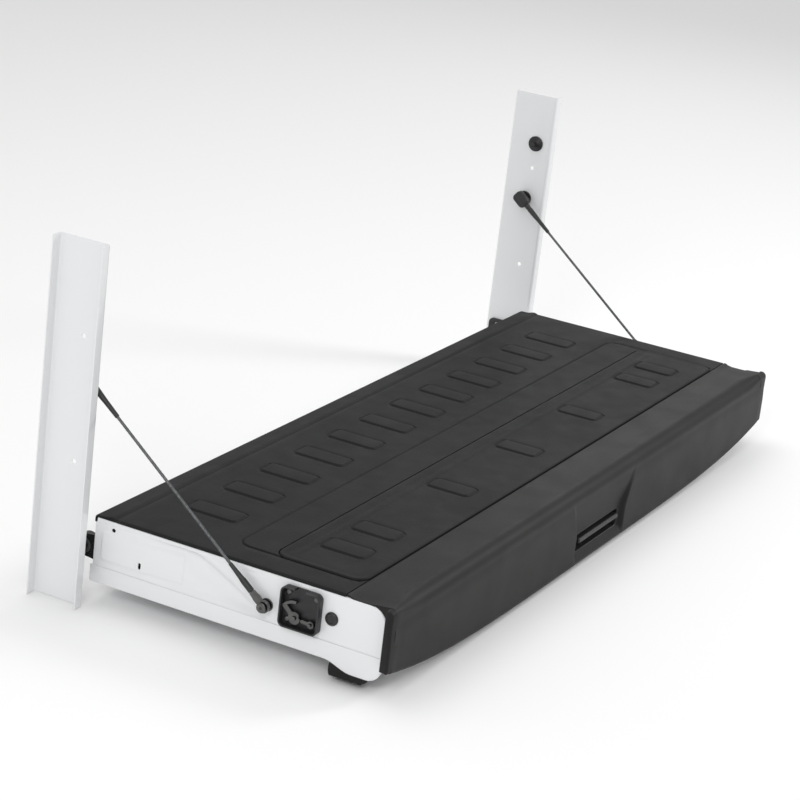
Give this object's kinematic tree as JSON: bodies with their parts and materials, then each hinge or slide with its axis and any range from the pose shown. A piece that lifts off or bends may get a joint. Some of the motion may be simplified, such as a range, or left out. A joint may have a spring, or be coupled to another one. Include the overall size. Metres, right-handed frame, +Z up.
{
  "type": "drop-down tailgate step",
  "caption": "Drop-down pickup tailgate that opens level as a stepping deck, hung on steel cables, with latches, hinge pins and a lift handle.",
  "frame": {"origin": "middle of the gate's hinge axis, half way between the two hinge brackets", "axes": "+X towards the truck's right side along the hinge axis, +Y towards the truck's front, +Z up; the open gate reaches back along -Y"},
  "size_m": [1.669, 0.6385, 0.6015],
  "materials": {
    "white_paint": "gloss white paint",
    "deck_plastic": "fine-textured moulded",
    "cap_plastic": "satin moulded",
    "black_plastic": "satin moulded",
    "black_steel": "satin black e-coat",
    "zinc_steel": "zinc plated",
    "cable_steel": "stranded wire",
    "bush_nylon": "moulded nylon"
  },
  "bodies": {
    "truck_mounts": {"pillar_strip_left": "white_paint", "pillar_strip_right": "white_paint", "hinge_bracket_left": "black_steel", "hinge_bracket_right": "black_steel", "cable_anchor_left": "zinc_steel", "cable_anchor_right": "zinc_steel", "striker_left": "black_steel", "striker_right": "black_steel"},
    "gate": {"outer_skin": "white_paint", "inner_panel": "white_paint", "deck_liner": "deck_plastic", "access_cover": "deck_plastic", "hinge_end_trim": "deck_plastic", "top_cap": "cap_plastic", "outer_trim": "cap_plastic", "reinforcement_beam": "zinc_steel", "torsion_rod": "black_steel", "torsion_clip_outer": "black_plastic", "torsion_clip_inner": "black_plastic", "handle_bezel": "black_plastic", "paddle_pin": "zinc_steel", "crank_bracket": "black_steel", "crank_pin": "zinc_steel", "hinge_cup_left": "black_steel", "hinge_cup_right": "black_steel", "hinge_bush_left": "bush_nylon", "hinge_bush_right": "bush_nylon", "latch_housing_left": "black_steel", "latch_housing_right": "black_steel", "claw_pin_left": "zinc_steel", "claw_pin_right": "zinc_steel", "pawl_pin_left": "zinc_steel", "pawl_pin_right": "zinc_steel", "side_plug_left": "black_plastic", "side_plug_right": "black_plastic", "cable_bolt_left": "zinc_steel", "cable_bolt_right": "zinc_steel"},
    "handle": {"handle_paddle": "cap_plastic"},
    "crank": {"release_crank": "zinc_steel"},
    "rod_slide_left": {"rod_left": "zinc_steel"},
    "claw_left": {"latch_claw_left": "zinc_steel"},
    "pawl_left": {"latch_pawl_left": "zinc_steel"},
    "cable_lower_left_link": {"cable_eye_left": "zinc_steel", "cable_sleeve_left": "black_plastic", "cable_lower_left": "cable_steel"},
    "cable_bend_1_left_link": {"cable_bend_1_left": "cable_steel"},
    "cable_bend_2_left_link": {"cable_bend_2_left": "cable_steel"},
    "cable_upper_left_link": {"cable_upper_left": "cable_steel", "cable_clip_left": "black_plastic"},
    "rod_slide_right": {"rod_right": "zinc_steel"},
    "claw_right": {"latch_claw_right": "zinc_steel"},
    "pawl_right": {"latch_pawl_right": "zinc_steel"},
    "cable_lower_right_link": {"cable_eye_right": "zinc_steel", "cable_sleeve_right": "black_plastic", "cable_lower_right": "cable_steel"},
    "cable_bend_1_right_link": {"cable_bend_1_right": "cable_steel"},
    "cable_bend_2_right_link": {"cable_bend_2_right": "cable_steel"},
    "cable_upper_right_link": {"cable_upper_right": "cable_steel", "cable_clip_right": "black_plastic"}
  },
  "joints": [
    {"name": "gate_hinge", "type": "hinge", "parent": "truck_mounts", "child": "gate", "pos_m": [0, 0, 0], "axis": [-1, 0, 0], "range_deg": [0, 90]},
    {"name": "handle_lift", "type": "hinge", "parent": "gate", "child": "handle", "pos_m": [0, -0.545, -0.044], "axis": [-1, 0, 0], "range_deg": [0, 20]},
    {"name": "crank_turn", "type": "hinge", "parent": "gate", "child": "crank", "pos_m": [0, -0.506, 0], "axis": [0, 1, 0], "range_deg": [0, 20]},
    {"name": "rod_left_pull", "type": "slide", "parent": "gate", "child": "rod_slide_left", "axis": [1, 0, 0], "range_m": [0, 0.0069]},
    {"name": "pawl_left_turn", "type": "hinge", "parent": "gate", "child": "pawl_left", "pos_m": [-0.7925, -0.4265, -0.0065], "axis": [-1, 0, 0], "range_deg": [0, 15]},
    {"name": "claw_left_turn", "type": "hinge", "parent": "gate", "child": "claw_left", "pos_m": [-0.7925, -0.3975, -0.0035], "axis": [1, 0, 0], "range_deg": [0, 48], "stiffness_Nm_per_rad": 0.05, "springref_deg": -11.46},
    {"name": "cable_lower_left_turn", "type": "hinge", "parent": "gate", "child": "cable_lower_left_link", "pos_m": [-0.797, -0.3435, 0], "axis": [-1, 0, 0], "range_deg": [0, 44.73]},
    {"name": "cable_bend_1_left_turn", "type": "hinge", "parent": "cable_lower_left_link", "child": "cable_bend_1_left_link", "pos_m": [-0.797, -0.16747, 0.14039], "axis": [1, 0, 0], "range_deg": [0, 63.63]},
    {"name": "cable_bend_2_left_turn", "type": "hinge", "parent": "cable_bend_1_left_link", "child": "cable_bend_2_left_link", "pos_m": [-0.797, -0.14089, 0.16159], "axis": [1, 0, 0], "range_deg": [0, 63.63]},
    {"name": "cable_upper_left_turn", "type": "hinge", "parent": "cable_bend_2_left_link", "child": "cable_upper_left_link", "pos_m": [-0.797, -0.11431, 0.18278], "axis": [1, 0, 0], "range_deg": [0, 63.63]},
    {"name": "rod_right_pull", "type": "slide", "parent": "gate", "child": "rod_slide_right", "axis": [-1, 0, 0], "range_m": [0, 0.0069], "stiffness_N_per_m": 400, "springref_m": -0.003},
    {"name": "pawl_right_turn", "type": "hinge", "parent": "gate", "child": "pawl_right", "pos_m": [0.7925, -0.4265, -0.0065], "axis": [-1, 0, 0], "range_deg": [0, 15]},
    {"name": "claw_right_turn", "type": "hinge", "parent": "gate", "child": "claw_right", "pos_m": [0.7925, -0.3975, -0.0035], "axis": [1, 0, 0], "range_deg": [0, 48], "stiffness_Nm_per_rad": 0.05, "springref_deg": -11.46},
    {"name": "cable_lower_right_turn", "type": "hinge", "parent": "gate", "child": "cable_lower_right_link", "pos_m": [0.797, -0.3435, 0], "axis": [-1, 0, 0], "range_deg": [0, 44.73]},
    {"name": "cable_bend_1_right_turn", "type": "hinge", "parent": "cable_lower_right_link", "child": "cable_bend_1_right_link", "pos_m": [0.797, -0.16747, 0.14039], "axis": [1, 0, 0], "range_deg": [0, 63.63]},
    {"name": "cable_bend_2_right_turn", "type": "hinge", "parent": "cable_bend_1_right_link", "child": "cable_bend_2_right_link", "pos_m": [0.797, -0.14089, 0.16159], "axis": [1, 0, 0], "range_deg": [0, 63.63]},
    {"name": "cable_upper_right_turn", "type": "hinge", "parent": "cable_bend_2_right_link", "child": "cable_upper_right_link", "pos_m": [0.797, -0.11431, 0.18278], "axis": [1, 0, 0], "range_deg": [0, 63.63]}
  ],
  "couplings": [
    {"joint": "handle_lift", "follows": "rod_right_pull", "rad_per_m": 50},
    {"joint": "crank_turn", "follows": "rod_right_pull", "rad_per_m": 50},
    {"joint": "rod_left_pull", "follows": "rod_right_pull", "ratio": 1},
    {"joint": "pawl_left_turn", "follows": "rod_right_pull", "rad_per_m": 37.5},
    {"joint": "cable_lower_left_turn", "follows": "gate_hinge", "ratio": 0.49694},
    {"joint": "cable_bend_1_left_turn", "follows": "gate_hinge", "ratio": 0.70702},
    {"joint": "cable_bend_2_left_turn", "follows": "gate_hinge", "ratio": 0.70702},
    {"joint": "cable_upper_left_turn", "follows": "gate_hinge", "ratio": 0.70702},
    {"joint": "pawl_right_turn", "follows": "rod_right_pull", "rad_per_m": 37.5},
    {"joint": "cable_lower_right_turn", "follows": "gate_hinge", "ratio": 0.49694},
    {"joint": "cable_bend_1_right_turn", "follows": "gate_hinge", "ratio": 0.70702},
    {"joint": "cable_bend_2_right_turn", "follows": "gate_hinge", "ratio": 0.70702},
    {"joint": "cable_upper_right_turn", "follows": "gate_hinge", "ratio": 0.70702}
  ]
}
